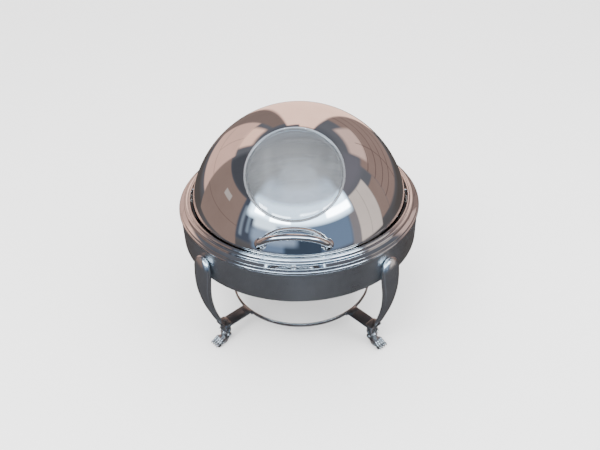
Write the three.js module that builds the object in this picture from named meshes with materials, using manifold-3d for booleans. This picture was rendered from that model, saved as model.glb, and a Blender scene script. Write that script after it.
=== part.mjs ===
// Round roll-top chafing dish on a four-legged stand.
// Units are millimetres. +Z is up, -Y is the front, and the origin is on the floor under the centre.
import * as THREE from "three";
import { mergeVertices } from "three/addons/utils/BufferGeometryUtils.js";
import Module from "manifold-3d";

const wasm = await Module();
wasm.setup();

// ---- Driving dimensions ----
const GAP = 0.4; // space left between touching pieces
const SHEET = 1.5; // thickness of the pressed steel
const RING_SIDES = 48; // facets round the large turned pieces
const PAN_SIDES = 36;
const WINDOW_SIDES = 32;
const PIN_SIDES = 10;

const RIM_RADIUS = 240;
const LIP_HEIGHT = 259; // widest line of the rolled outer lip
const RIM_BORE = 220;

const BAND_RADIUS = 237.8;
const BAND_BOTTOM = 191;
const BAND_TOP = 253.6;
const BAND_FLANGE = 8;

const DOME_RADIUS = 217.5;
const DOME_CENTRE = 226.3; // height of the sphere's centre
const COVER_EDGE = 262; // height of the cover's lower edge when it is shut
const PIVOT_HEIGHT = 253;

const WINDOW_ELEVATION = 53.1; // degrees above the horizon, from the sphere's centre
const GLASS_ANGLE = 23.3; // half angle of the window glass
const HOLE_ANGLE = 23.6;
const GLASS_THICKNESS = 4;
const DOME_ROWS = 10;

const HANDLE_ELEVATION = 17.4;
const HANDLE_SPREAD = 16.3; // degrees from the middle to each handle foot
const BOW_ELEVATION = 24.4; // of the middle of the handle bar
const BOW_CLEARANCE = 34; // from the dome to the middle of the bar
const HANDLE_BAR_RADIUS = 6;

const LEG_ANGLES = { front_left: 225, front_right: 315, rear_right: 45, rear_left: 135 };
const LEG_SCREW_HEIGHT = 212;
const LEG_FACE = BAND_RADIUS + 0.5; // flat back of each leg, against the band
const ANKLE_HEIGHT = 48; // underside of the leg, on top of the strap
const STRAP_WIDTH = 28;
const STRAP_THICKNESS = 3.2;
const FOOT_TOP = ANKLE_HEIGHT - STRAP_THICKNESS - 2 * GAP;

const HOOP_RADIUS = 150.5;
const HOOP_THICKNESS = 3;
const HOOP_BOTTOM = 37;
const HOOP_TOP = 45;

const SUPPORT_TOP = 249.2;
const SUPPORT_OUTER = 184;
const SUPPORT_INNER = 177;
const SUPPORT_ANGLES = { outer_left: 198, inner_left: 242, inner_right: 298, outer_right: 342 };
const STOP_RADIUS_FROM_CENTRE = 213.4;

const WATER_FLANGE = 181;
const WATER_WALL = 166.5;
const WATER_DEPTH = 76;
const FOOD_FLANGE = 171.5;
const FOOD_WALL = 160;
const FOOD_DEPTH = 58;

const RIVET_ANGLES = { front: 270, rear_right: 30, rear_left: 150 };
const RIVET_SEAT = new THREE.Vector3(231.6, 0, 266.2); // on the rim's sloping flat ring
const RIVET_TILT = new THREE.Vector3(0.36, 0, 0.933);

const BURNER_OFFSET = -18; // the burner stands a little forward of the centre
const CUP_SIDES = 24;
const CUP_RADIUS = 40;
const CUP_HEIGHT = 60;
const BURNER_STRAP_TOP = HOOP_BOTTOM - GAP;
const LID_PIVOT = 34;

// ---- Materials ----
const steel = (color, roughness) => new THREE.MeshStandardMaterial({ color, roughness, metalness: 1 });
const polishedSteel = steel(0xd9d6d2, 0.08);
const satinSteel = steel(0x6f7074, 0.38);
const castSteel = steel(0x8e8c8a, 0.3);
const panSteel = steel(0xb9babb, 0.28);
const glass = new THREE.MeshStandardMaterial({
  color: 0xc4ccd2,
  roughness: 0.05,
  metalness: 0,
  transparent: true,
  opacity: 0.35,
});
const rubber = new THREE.MeshStandardMaterial({ color: 0x1d1d1e, roughness: 0.85, metalness: 0 });
const nylon = new THREE.MeshStandardMaterial({ color: 0xe6e2d8, roughness: 0.55, metalness: 0 });

// ---- Solid helpers ----
const radians = (degrees) => THREE.MathUtils.degToRad(degrees);
const vector = (x, y, z) => new THREE.Vector3(x, y, z);
const UP = vector(0, 1, 0);

function manifoldFrom(positions, triangles) {
  return new wasm.Manifold(
    new wasm.Mesh({ numProp: 3, vertProperties: positions, triVerts: new Uint32Array(triangles) }),
  );
}

// A closed geometry as a solid, with its faces turned outwards.
function solidOf(geometry) {
  const bare = new THREE.BufferGeometry();
  bare.setAttribute("position", geometry.getAttribute("position"));
  bare.setIndex(geometry.index);
  const merged = mergeVertices(bare, 1e-3);
  const corners = merged.index.array;
  const outward = [];
  const inward = [];
  for (let i = 0; i < corners.length; i += 3) {
    const [a, b, c] = corners.slice(i, i + 3);
    if (a === b || b === c || c === a) continue;
    outward.push(a, b, c);
    inward.push(a, c, b);
  }
  const positions = merged.attributes.position.array;
  const made = manifoldFrom(positions, outward);
  return made.volume() < 0 ? manifoldFrom(positions, inward) : made;
}

// Turns a geometry from the Y axis to a line through origin along direction.
function aimed(geometry, origin, direction) {
  const turn = new THREE.Quaternion().setFromUnitVectors(UP, direction.clone().normalize());
  geometry.applyQuaternion(turn);
  geometry.translate(origin.x, origin.y, origin.z);
  return geometry;
}

// A profile of [radius, height] pairs turned round a line. It closes on itself unless it ends on the line.
function turned(profile, sides, origin = vector(0, 0, 0), direction = vector(0, 0, 1)) {
  const points = profile.map(([radius, height]) => new THREE.Vector2(radius, height));
  const onAxis = profile[0][0] === 0 && profile.at(-1)[0] === 0;
  if (!onAxis) points.push(points[0].clone());
  return solidOf(aimed(new THREE.LatheGeometry(points, sides), origin, direction));
}

function rod(start, end, radius, sides = PIN_SIDES) {
  const span = end.clone().sub(start);
  const geometry = new THREE.CylinderGeometry(radius, radius, span.length(), sides);
  geometry.translate(0, span.length() / 2, 0);
  return solidOf(aimed(geometry, start, span));
}

// An outline in the X-Z plane, extruded to a width centred on Y.
function plate(outline, width) {
  const shape = new THREE.Shape(outline.map(([x, z]) => new THREE.Vector2(x, z)));
  const geometry = new THREE.ExtrudeGeometry(shape, { depth: width, bevelEnabled: false });
  geometry.translate(0, 0, -width / 2);
  geometry.rotateX(Math.PI / 2);
  return solidOf(geometry);
}

function block(low, high) {
  const size = high.clone().sub(low);
  const geometry = new THREE.BoxGeometry(size.x, size.y, size.z);
  geometry.translate(low.x + size.x / 2, low.y + size.y / 2, low.z + size.z / 2);
  return solidOf(geometry);
}

// A skin over a row of sections with equal point counts, closed by flat ends.
function loft(sections) {
  const count = sections[0].length;
  const rows = sections.map((section) => section.flatMap((p) => [p.x, p.y, p.z]));
  const triangles = [];
  for (let row = 0; row + 1 < sections.length; row++)
    for (let i = 0; i < count; i++) {
      const a = row * count + i;
      const b = row * count + ((i + 1) % count);
      triangles.push(a, b, b + count, a, b + count, a + count);
    }
  const last = (sections.length - 1) * count;
  for (let i = 1; i + 1 < count; i++) {
    triangles.push(0, i + 1, i);
    triangles.push(last, last + i, last + i + 1);
  }
  const geometry = new THREE.BufferGeometry();
  geometry.setAttribute("position", new THREE.Float32BufferAttribute(rows.flat(), 3));
  geometry.setIndex(triangles);
  return solidOf(geometry);
}

function swungTo(solid, degrees) {
  return solid.rotate(0, 0, degrees);
}

const dish = new THREE.Group();

// Adds a solid to the dish as a named mesh, swung about the upright axis.
function add(name, solid, material, degrees = 0) {
  const { vertProperties, triVerts } = solid.getMesh();
  const geometry = new THREE.BufferGeometry();
  geometry.setAttribute("position", new THREE.BufferAttribute(vertProperties, 3));
  geometry.setIndex(new THREE.BufferAttribute(triVerts, 1));
  geometry.computeVertexNormals();
  const mesh = new THREE.Mesh(geometry, material);
  mesh.name = name;
  mesh.rotation.z = radians(degrees);
  dish.add(mesh);
}

// ---- Turned profiles ----
// Points on an arc round the middle (radius, height), from one angle to another in degrees.
function arc(middle, radius, from, to, steps) {
  return Array.from({ length: steps + 1 }, (_, i) => {
    const angle = radians(from + ((to - from) * i) / steps);
    return [middle[0] + radius * Math.cos(angle), middle[1] + radius * Math.sin(angle)];
  });
}

// ---- Stand: rim and band ----
// Outer face of the rim, from the lip's lower edge over the beads to the inner edge.
function rimFace() {
  return [
    [RIM_RADIUS, LIP_HEIGHT - 10],
    [RIM_RADIUS, LIP_HEIGHT],
    [RIM_RADIUS - 1.9, LIP_HEIGHT + 1.8],
    [RIM_RADIUS - 3.6, LIP_HEIGHT + 2],
    [RIM_RADIUS - 3.6, LIP_HEIGHT + 4.4],
    [RIM_RADIUS - 5.2, LIP_HEIGHT + 5.8],
    [228.3, 267.3],
    ...arc([225.4, 269.3], 3.1, 10, 130, 2),
    [222.9, 271.9],
    ...arc([RIM_BORE + 1.5, 273.6], 1.6, 30, 150, 1),
    [RIM_BORE, 264],
  ];
}

// Inner face of the rim, from the inner edge back to the lip.
function rimBack() {
  return [
    [RIM_BORE + SHEET, 264],
    [RIM_BORE + SHEET, 270.6],
    [226.8, 266.4],
    [RIM_RADIUS - 5.8, LIP_HEIGHT + 3],
    [RIM_RADIUS - 5.4, LIP_HEIGHT - 0.2],
    [RIM_RADIUS - SHEET, LIP_HEIGHT - 1],
    [RIM_RADIUS - SHEET, LIP_HEIGHT - 10],
  ];
}

function rivetHole(depth) {
  const start = RIVET_SEAT.clone().addScaledVector(RIVET_TILT, -depth);
  return rod(start, RIVET_SEAT.clone().addScaledVector(RIVET_TILT, 4), 2.4);
}

function rimRing() {
  let ring = turned([...rimFace(), ...rimBack()], RING_SIDES);
  for (const angle of Object.values(RIVET_ANGLES)) ring = ring.subtract(swungTo(rivetHole(4), angle));
  return ring;
}

function bodyBand() {
  const inner = BAND_RADIUS - SHEET;
  let band = turned(
    [
      [BAND_RADIUS, BAND_BOTTOM + 1],
      [BAND_RADIUS, BAND_TOP],
      [inner, BAND_TOP],
      [inner, BAND_BOTTOM + SHEET],
      [inner - BAND_FLANGE, BAND_BOTTOM + SHEET],
      [inner - BAND_FLANGE, BAND_BOTTOM],
      [BAND_RADIUS - 1, BAND_BOTTOM],
    ],
    RING_SIDES,
  );
  for (const angle of Object.values(LEG_ANGLES)) band = band.subtract(swungTo(legScrewHole(3.5), angle));
  return band;
}

function rimRivet() {
  const profile = [
    [0, -8.4],
    [2.7, -8.2],
    [2.7, -6.6],
    [2, -6.6],
    [2, GAP],
    [3.8, GAP],
    [3.4, 1.3],
    [1.6, 1.8],
    [1.2, 0.6],
    [0, 0.6],
  ];
  return turned(profile, PIN_SIDES, RIVET_SEAT, RIVET_TILT);
}

// Bent tab that ties the rim's flat ring to the inside of the band.
function rimTab() {
  const outline = [
    [235, 230],
    [235, 249.5],
    [233.8, 254],
    [233.8, 260.2],
    [227.6, 264.2],
    [226.6, 262.6],
    [232, 259.4],
    [232, 253.6],
    [233, 249],
    [233, 230],
  ];
  return plate(outline, 16).subtract(rivetHole(8));
}

// ---- Stand: legs, straps, feet and hoop ----
// Height, distance from the centre, half width and half depth of the leg's level sections.
const LEG_STATIONS = [
  [ANKLE_HEIGHT, 215, 13, 7],
  [58, 220.5, 9, 6],
  [72, 228, 8, 5.5],
  [92, 235, 8.6, 6],
  [115, 241.5, 10.5, 7.5],
  [140, 246, 14, 9],
  [170, 248, 18.5, 10.5],
  [195, 246.8, 21.4, 10.5],
];
const LEG_CROWN = { height: 212, rise: 28, distance: 245, halfWidth: 22, halfDepth: 10 };

function levelEllipse(height, distance, halfWidth, halfDepth) {
  return Array.from({ length: 12 }, (_, i) => {
    const angle = (i / 12) * 2 * Math.PI;
    return vector(distance + halfDepth * Math.cos(angle), halfWidth * Math.sin(angle), height);
  });
}

function legScrewHole(radius) {
  return rod(vector(BAND_RADIUS - 8, 0, LEG_SCREW_HEIGHT), vector(247, 0, LEG_SCREW_HEIGHT), radius);
}

function leg() {
  const sections = LEG_STATIONS.map((station) => levelEllipse(...station));
  for (let step = 0; step <= 4; step++) {
    const angle = radians(step * 21);
    const shrink = Math.cos(angle);
    const { height, rise, distance, halfWidth, halfDepth } = LEG_CROWN;
    sections.push(
      levelEllipse(height + rise * Math.sin(angle), distance, halfWidth * shrink, halfDepth * shrink),
    );
  }
  const bandSide = block(vector(200, -40, BAND_BOTTOM - 12), vector(LEG_FACE, 40, 260));
  const base = block(vector(204, -STRAP_WIDTH / 2, ANKLE_HEIGHT), vector(221, STRAP_WIDTH / 2, 51));
  return loft(sections).subtract(bandSide).add(base).subtract(legScrewHole(3.5));
}

function legScrew() {
  const seat = BAND_RADIUS - SHEET - 0.6;
  const profile = [
    [0, 4.5],
    [3.6, 4],
    [6, 1.6],
    [6, 0],
    [3, 0],
    [3, -10],
    [0, -10],
  ];
  return turned(profile, PIN_SIDES, vector(seat, 0, LEG_SCREW_HEIGHT), vector(-1, 0, 0));
}

function strap() {
  const top = ANKLE_HEIGHT - GAP;
  const bottom = top - STRAP_THICKNESS;
  const hoopFace = HOOP_RADIUS + GAP;
  const outline = [
    [hoopFace, HOOP_BOTTOM + 1],
    [hoopFace + 2.5, HOOP_BOTTOM + 1],
    [hoopFace + 2.5, bottom],
    [219, bottom],
    [219, top],
    [hoopFace, top],
  ];
  return plate(outline, STRAP_WIDTH);
}

// Distance from the centre, underside, top and half width of the foot's upright sections.
const FOOT_STATIONS = [
  [203.5, 30, FOOT_TOP, 11],
  [208.5, 17, FOOT_TOP, 12],
  [213, 7, FOOT_TOP, 12],
  [217, -1, 38, 11.2],
  [222, -1, 28, 10.2],
  [228, -1, 20, 10.4],
  [234, -1, 16, 11.2],
  [240, 0.5, 13, 11],
  [245, 4, 10, 9.6],
];

// An upright section: a flat sole with a crown of four lobes for the toes.
function pawSection([distance, underside, top, halfWidth], lobeDepth) {
  const section = [vector(distance, halfWidth * 0.8, underside), vector(distance, -halfWidth * 0.8, underside)];
  for (let i = 0; i <= 8; i++) {
    const across = -1 + i / 4;
    const crown = Math.sqrt(1 - (0.9 * across) ** 2);
    const lobe = lobeDepth * Math.abs(Math.sin(across * 2 * Math.PI));
    const height = underside + (top - underside) * (0.35 + 0.65 * crown) - lobeDepth + lobe;
    section.push(vector(distance, across * halfWidth, height));
  }
  return section;
}

function pawFoot() {
  const sections = FOOT_STATIONS.map((station) => pawSection(station, station[0] > 225 ? 2 : 0));
  const floor = block(vector(190, -30, -20), vector(270, 30, 0));
  const ceiling = block(vector(190, -30, FOOT_TOP), vector(270, 30, 80));
  return loft(sections).subtract(floor).subtract(ceiling);
}

function ring(outer, inner, bottom, top, sides = RING_SIDES) {
  const profile = [
    [outer, bottom],
    [outer, top],
    [inner, top],
    [inner, bottom],
  ];
  return turned(profile, sides);
}

// ---- Stand: pivots, pan support and stops ----
const pivotRod = (from, to, radius) =>
  rod(vector(from, 0, PIVOT_HEIGHT), vector(to, 0, PIVOT_HEIGHT), radius, 16);

function pivotBracket() {
  const outline = [
    [234.9, 214],
    [234.9, 248],
    [231.5, 259],
    [223.2, 259],
    [223.2, 247],
    [230.4, 238],
    [231.6, 214],
  ];
  return plate(outline, 26).subtract(pivotRod(222, 232.5, 4));
}

function pivotPin() {
  const profile = [
    [0, 0],
    [6, 0],
    [7, 1],
    [7, 3.2],
    [3.5, 3.2],
    [3.5, 25],
    [0, 25],
  ];
  return turned(profile, 16, vector(206.4, 0, PIVOT_HEIGHT), vector(1, 0, 0));
}

function pivotSpacer() {
  return pivotRod(213.2, 222.8, 7.5).subtract(pivotRod(212, 224, 4));
}

function supportBracket() {
  const top = SUPPORT_TOP - 3 - GAP;
  const outline = [
    [SUPPORT_INNER + 1, top - 3],
    [232, top - 3],
    [232, top - 24],
    [235, top - 24],
    [235, top],
    [SUPPORT_INNER + 1, top],
  ];
  return plate(outline, 22);
}

function coverStop() {
  const bottom = SUPPORT_TOP - 3;
  const profile = [
    [0, bottom],
    [6, bottom],
    [6, bottom + 3],
    [4.6, COVER_EDGE - 2],
    [3.6, COVER_EDGE - GAP],
    [0, COVER_EDGE - GAP],
  ];
  return turned(profile, 16, vector(STOP_RADIUS_FROM_CENTRE, 0, 0));
}

// ---- Pans ----
// Inside face of a round pan: flange, wall, rounded corner and floor.
function panFace(flange, wall, top, bottom, corner) {
  return [
    [flange, top],
    [wall + 1, top],
    [wall - 4, bottom + corner],
    ...arc([wall - 4 - corner, bottom + corner], corner, -45, -90, 1),
    [0, bottom],
  ];
}

function roundPan(flange, wall, top, depth, corner) {
  const inside = panFace(flange, wall - SHEET, top, top - depth, corner);
  const outside = panFace(flange, wall, top - SHEET, top - depth - SHEET, corner + SHEET);
  return turned([...inside.reverse(), ...outside], PAN_SIDES);
}

// ---- Cover ----
const coverCentre = vector(0, 0, DOME_CENTRE);
const windowAxis = vector(0, -Math.cos(radians(WINDOW_ELEVATION)), Math.sin(radians(WINDOW_ELEVATION)));
const edgeAngle = Math.asin((COVER_EDGE - DOME_CENTRE) / DOME_RADIUS) * THREE.MathUtils.RAD2DEG;

// A point at a radius and an angle from the window's axis.
function fromAxis(radius, degrees) {
  return [radius * Math.sin(radians(degrees)), radius * Math.cos(radians(degrees))];
}

function domeCover() {
  const inside = DOME_RADIUS - SHEET;
  const insideEdge = Math.asin((COVER_EDGE - DOME_CENTRE) / inside) * THREE.MathUtils.RAD2DEG;
  const outer = arc([0, DOME_CENTRE], DOME_RADIUS, edgeAngle, 90, DOME_ROWS);
  const inner = arc([0, DOME_CENTRE], inside, 90, insideEdge, DOME_ROWS);
  outer[DOME_ROWS][0] = 0;
  inner[0][0] = 0;
  let cover = turned([...inner, ...outer], RING_SIDES).subtract(windowHole());
  for (const side of [-1, 1]) {
    cover = cover.subtract(handleBore(side)).subtract(earRivetHole(side, 2.4));
  }
  return cover;
}

function windowHole() {
  const cone = [[0, 0], fromAxis(240, HOLE_ANGLE), [0, 240 * Math.cos(radians(HOLE_ANGLE))]];
  return turned(cone, WINDOW_SIDES, coverCentre, windowAxis);
}

function cap(radius, angle, steps) {
  return Array.from({ length: steps + 1 }, (_, i) => fromAxis(radius, (angle * i) / steps));
}

function windowGlass() {
  const outer = cap(DOME_RADIUS - 0.2, GLASS_ANGLE, 3);
  const inner = cap(DOME_RADIUS - 0.2 - GLASS_THICKNESS, GLASS_ANGLE, 3);
  return turned([...inner, ...outer.reverse()], WINDOW_SIDES, coverCentre, windowAxis);
}

function windowBezel() {
  const profile = [
    fromAxis(DOME_RADIUS + 0.7, 23),
    fromAxis(DOME_RADIUS + 1.9, 23.3),
    fromAxis(DOME_RADIUS + 1.9, 23.9),
    fromAxis(DOME_RADIUS + 0.7, 24.2),
  ];
  return turned(profile, WINDOW_SIDES, coverCentre, windowAxis);
}

function windowRetainer() {
  const glassBack = DOME_RADIUS - GLASS_THICKNESS - 1;
  const sheetBack = DOME_RADIUS - SHEET - 1.4;
  const profile = [
    fromAxis(glassBack, 22.6),
    fromAxis(glassBack, 23.5),
    fromAxis(sheetBack, 23.9),
    fromAxis(sheetBack, 25.6),
    fromAxis(glassBack - 1.4, 25.6),
    fromAxis(glassBack - 1.4, 22.6),
  ];
  return turned(profile, WINDOW_SIDES, coverCentre, windowAxis);
}

// Outward direction from the sphere's centre at a handle foot; side is -1 for left and 1 for right.
function handleDirection(side) {
  const level = Math.cos(radians(HANDLE_ELEVATION));
  const spread = radians(HANDLE_SPREAD);
  return vector(
    side * level * Math.sin(spread),
    -level * Math.cos(spread),
    Math.sin(radians(HANDLE_ELEVATION)),
  );
}

const handlePoint = (side, radius) => coverCentre.clone().addScaledVector(handleDirection(side), radius);

function handleFoot(side) {
  const profile = [
    [3, 0.7],
    [11, 0.7],
    [11, 1.8],
    [9, 3.4],
    [7.4, 6.2],
    [3, 6.2],
  ];
  return turned(profile, 16, handlePoint(side, DOME_RADIUS), handleDirection(side));
}

// Middle line of the bow: straight out of each foot, then over in one rounded arch.
function handleLine() {
  const tilt = radians(BOW_ELEVATION);
  const reach = DOME_RADIUS + BOW_CLEARANCE;
  const middle = coverCentre.clone().add(vector(0, -Math.cos(tilt) * reach, Math.sin(tilt) * reach));
  const shoulder = handlePoint(1, DOME_RADIUS + 13);
  const arch = [-0.94, -0.62, 0, 0.62, 0.94].map((across) => {
    const lift = Math.sqrt(1 - across ** 2);
    const onChord = vector(across * shoulder.x, shoulder.y, shoulder.z);
    const rise = vector(0, middle.y - shoulder.y, middle.z - shoulder.z);
    return onChord.addScaledVector(rise, lift);
  });
  return [handlePoint(-1, DOME_RADIUS + 3), ...arch, handlePoint(1, DOME_RADIUS + 3)];
}

function handleBar() {
  const section = new THREE.Shape().absarc(0, 0, HANDLE_BAR_RADIUS, 0, 2 * Math.PI);
  const geometry = new THREE.ExtrudeGeometry(section, {
    steps: 20,
    extrudePath: new THREE.CatmullRomCurve3(handleLine()),
    curveSegments: 5,
  });
  let bar = solidOf(geometry);
  for (const side of [-1, 1]) {
    const footSpace = rod(handlePoint(side, DOME_RADIUS - 6), handlePoint(side, DOME_RADIUS + 6.6), 14);
    bar = bar.subtract(footSpace).subtract(handleBore(side));
  }
  return bar;
}

function handleBore(side) {
  return rod(handlePoint(side, DOME_RADIUS - 6), handlePoint(side, DOME_RADIUS + 11), 2.9);
}

function handleScrew(side) {
  const profile = [
    [0, -6.6],
    [4.4, -6],
    [5, -3],
    [2.4, -3],
    [2.4, 10],
    [0, 10],
  ];
  return turned(profile, PIN_SIDES, handlePoint(side, DOME_RADIUS), handleDirection(side));
}

function earRivetHole(side, radius) {
  return rod(vector(side * 200, 0, 274), vector(side * 222, 0, 274), radius);
}

// Ear inside the cover's edge that turns on the pivot pin.
function pivotEar() {
  const outline = [
    [212.6, 242],
    [212.6, 257],
    [211.7, 263],
    [206.8, 284.5],
    [204.4, 284.5],
    [209.4, 263],
    [210.2, 257],
    [210.2, 242],
  ];
  return plate(outline, 24).subtract(pivotRod(205, 215, 4)).subtract(earRivetHole(1, 2.4));
}

function earRivet() {
  const profile = [
    [0, 0],
    [3.2, 0.2],
    [3.8, 1.6],
    [2, 1.6],
    [2, 9.6],
    [4, 9.6],
    [3.4, 10.6],
    [0, 11],
  ];
  return turned(profile, PIN_SIDES, vector(204, 0, 274), vector(1, 0, 0));
}

// ---- Burner ----
function burnerStrap() {
  const low = vector(-HOOP_RADIUS + 2, BURNER_OFFSET - 10, BURNER_STRAP_TOP - 3);
  const high = vector(HOOP_RADIUS - 2, BURNER_OFFSET + 10, BURNER_STRAP_TOP);
  const collarBottom = BURNER_STRAP_TOP - 3;
  const collar = turned(
    [
      [CUP_RADIUS + 2, collarBottom],
      [CUP_RADIUS + 2, collarBottom + 16],
      [CUP_RADIUS + 0.6, collarBottom + 16],
      [CUP_RADIUS + 0.6, collarBottom],
    ],
    CUP_SIDES,
    vector(0, BURNER_OFFSET, 0),
  );
  return block(low, high).add(collar);
}

function fuelCup() {
  const bottom = BURNER_STRAP_TOP + GAP;
  const top = bottom + CUP_HEIGHT;
  const profile = [
    [0, bottom],
    [CUP_RADIUS, bottom],
    [CUP_RADIUS, top - 2],
    [CUP_RADIUS - 2, top],
    [28, top],
    [28, top - SHEET],
    [CUP_RADIUS - SHEET - 1, top - SHEET],
    [CUP_RADIUS - SHEET, bottom + SHEET],
    [0, bottom + SHEET],
  ];
  const post = rod(
    vector(LID_PIVOT, BURNER_OFFSET, top - SHEET / 2),
    vector(LID_PIVOT, BURNER_OFFSET, top + 4),
    2,
  );
  return turned(profile, CUP_SIDES, vector(0, BURNER_OFFSET, 0)).add(post);
}

function snufferLid() {
  const bottom = BURNER_STRAP_TOP + GAP + CUP_HEIGHT + GAP;
  const top = bottom + SHEET;
  const column = (x, radius, height = top) =>
    rod(vector(x, BURNER_OFFSET, bottom), vector(x, BURNER_OFFSET, height), radius, 24);
  const tab = block(vector(-46, BURNER_OFFSET - 6, bottom), vector(-28, BURNER_OFFSET + 6, top));
  const hole = rod(vector(LID_PIVOT, BURNER_OFFSET, bottom - 1), vector(LID_PIVOT, BURNER_OFFSET, top + 1), 2.5);
  return column(0, 33).add(column(LID_PIVOT, 5)).add(tab).subtract(hole);
}

// ---- Assembly ----
const SIDES = { left: 180, right: 0 };

add("rim_ring", rimRing(), polishedSteel);
add("body_band", bodyBand(), satinSteel);
for (const [place, angle] of Object.entries(RIVET_ANGLES)) {
  add(`rim_rivet_${place}`, rimRivet(), polishedSteel, angle);
  add(`rim_tab_${place}`, rimTab(), satinSteel, angle);
}
for (const [place, angle] of Object.entries(LEG_ANGLES)) {
  add(`leg_${place}`, leg(), polishedSteel, angle);
  add(`leg_screw_${place}`, legScrew(), polishedSteel, angle);
  add(`strap_${place}`, strap(), satinSteel, angle);
  add(`paw_foot_${place}`, pawFoot(), castSteel, angle);
}
add("lower_hoop", ring(HOOP_RADIUS, HOOP_RADIUS - HOOP_THICKNESS, HOOP_BOTTOM, HOOP_TOP), satinSteel);

for (const [side, angle] of Object.entries(SIDES)) {
  add(`pivot_bracket_${side}`, pivotBracket(), satinSteel, angle);
  add(`pivot_pin_${side}`, pivotPin(), polishedSteel, angle);
  add(`pivot_spacer_${side}`, pivotSpacer(), nylon, angle);
  add(`pivot_ear_${side}`, pivotEar(), satinSteel, angle);
  add(`ear_rivet_${side}`, earRivet(), polishedSteel, angle);
}
add("pan_support_ring", ring(SUPPORT_OUTER, SUPPORT_INNER, SUPPORT_TOP - 3, SUPPORT_TOP), satinSteel);
for (const [place, angle] of Object.entries(SUPPORT_ANGLES))
  add(`support_bracket_${place}`, supportBracket(), satinSteel, angle);
add("cover_stop_left", coverStop(), rubber, SUPPORT_ANGLES.inner_left);
add("cover_stop_right", coverStop(), rubber, SUPPORT_ANGLES.inner_right);

const waterTop = SUPPORT_TOP + GAP + SHEET;
const foodTop = waterTop + GAP + SHEET;
add("water_pan", roundPan(WATER_FLANGE, WATER_WALL, waterTop, WATER_DEPTH, 14), panSteel);
add("food_pan", roundPan(FOOD_FLANGE, FOOD_WALL, foodTop, FOOD_DEPTH, 12), panSteel);

add("dome_cover", domeCover(), polishedSteel);
add("window_glass", windowGlass(), glass);
add("window_bezel", windowBezel(), polishedSteel);
add("window_retainer", windowRetainer(), satinSteel);
add("handle_bar", handleBar(), polishedSteel);
for (const [side, sign] of [
  ["left", -1],
  ["right", 1],
]) {
  add(`handle_foot_${side}`, handleFoot(sign), polishedSteel);
  add(`handle_screw_${side}`, handleScrew(sign), polishedSteel);
}

add("burner_strap", burnerStrap(), satinSteel);
add("fuel_cup", fuelCup(), satinSteel);
add("snuffer_lid", snufferLid(), satinSteel);

export default dish;
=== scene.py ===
"""Round roll-top chafing dish: the finished looks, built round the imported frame.

Lengths in the tables are millimetres, in the frame's axes: +Z up, -Y the front.
"""

import math
from math import cos, radians, sin

import bmesh
import bpy
import numpy as np
from mathutils import Matrix, Vector


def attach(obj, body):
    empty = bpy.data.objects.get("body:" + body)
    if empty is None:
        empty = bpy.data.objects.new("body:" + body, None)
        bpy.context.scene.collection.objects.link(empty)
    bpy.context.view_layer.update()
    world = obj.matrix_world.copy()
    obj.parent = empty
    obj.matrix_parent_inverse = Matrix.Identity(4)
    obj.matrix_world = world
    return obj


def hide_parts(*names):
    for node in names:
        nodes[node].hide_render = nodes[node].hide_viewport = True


MM = 0.001
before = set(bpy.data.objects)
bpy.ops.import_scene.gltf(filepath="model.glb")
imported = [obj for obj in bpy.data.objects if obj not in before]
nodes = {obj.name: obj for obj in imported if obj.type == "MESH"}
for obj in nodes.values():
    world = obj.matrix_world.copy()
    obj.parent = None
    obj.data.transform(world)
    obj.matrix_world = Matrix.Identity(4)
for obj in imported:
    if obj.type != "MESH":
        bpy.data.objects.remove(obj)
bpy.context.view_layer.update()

# ---- Driving dimensions ----
SHEET = 1.5
GAP = 0.4  # between pieces that touch
AXIS = 0.001  # the radius that closes a turned outline at its line
ROUND_SIDES = 256
CUP_SIDES = 128
SMALL_SIDES = 48
SHARP_EDGE = radians(38)  # steeper folds are shaded as edges

BAND_RADIUS = 237.8
BAND_BOTTOM = 191
BAND_TOP = 253.8
BAND_FLANGE = 8

DOME_RADIUS = 217.5
DOME_CENTRE = Vector((0, 0, 226.3))
COVER_EDGE = 262
DOME_SIDES = 320
DOME_ROWS = 96
WINDOW_TILT = radians(53.1)
WINDOW_AXIS = Vector((0, -cos(WINDOW_TILT), sin(WINDOW_TILT)))
HOLE_ANGLE = 23.6
GLASS_ANGLE = 23.3
GLASS_THICKNESS = 4

HANDLE_ELEVATION = radians(17.4)
HANDLE_SPREAD = radians(16.3)
BOW_ELEVATION = radians(24.4)
BOW_CLEARANCE = 34
HANDLE_BAR_RADIUS = 6

LEG_ANGLES = {"front_left": 225, "front_right": 315, "rear_right": 45, "rear_left": 135}
LEG_FACE = 238.3
LEG_SCREW_HEIGHT = 212
ANKLE_HEIGHT = 48
FOOT_TOP = 44
STRAP_HALF_WIDTH = 14

PIVOT_HEIGHT = 253
SIDES = {"left": 180, "right": 0}
RIVET_ANGLES = {"front": 270, "rear_right": 30, "rear_left": 150}
RIVET_SEAT = Vector((231.6, 0, 266.0))
RIVET_TILT = Vector((0.36, 0, 0.933))

SUPPORT_TOP = 249.2
SUPPORT_OUTER = 184
SUPPORT_INNER = 177
SUPPORT_THICKNESS = 3
SUPPORT_ANGLES = {"inner_left": 242, "inner_right": 298}
STOP_RADIUS = 213.4
HOOP_RADIUS = 150.5
HOOP_BOTTOM = 37
HOOP_TOP = 45
HOOP_THICKNESS = 3

WATER_PAN = {"flange": 181, "wall": 166.5, "depth": 76, "corner": 14}
FOOD_PAN = {"flange": 171.5, "wall": 160, "depth": 58, "corner": 12}
WALL_SLOPE = 4  # how far a pan's wall comes in from top to bottom

BURNER_Y = -18
CUP_RADIUS = 40
CUP_BOTTOM = 37
CUP_TOP = 97
LID_PIVOT = 34


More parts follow.
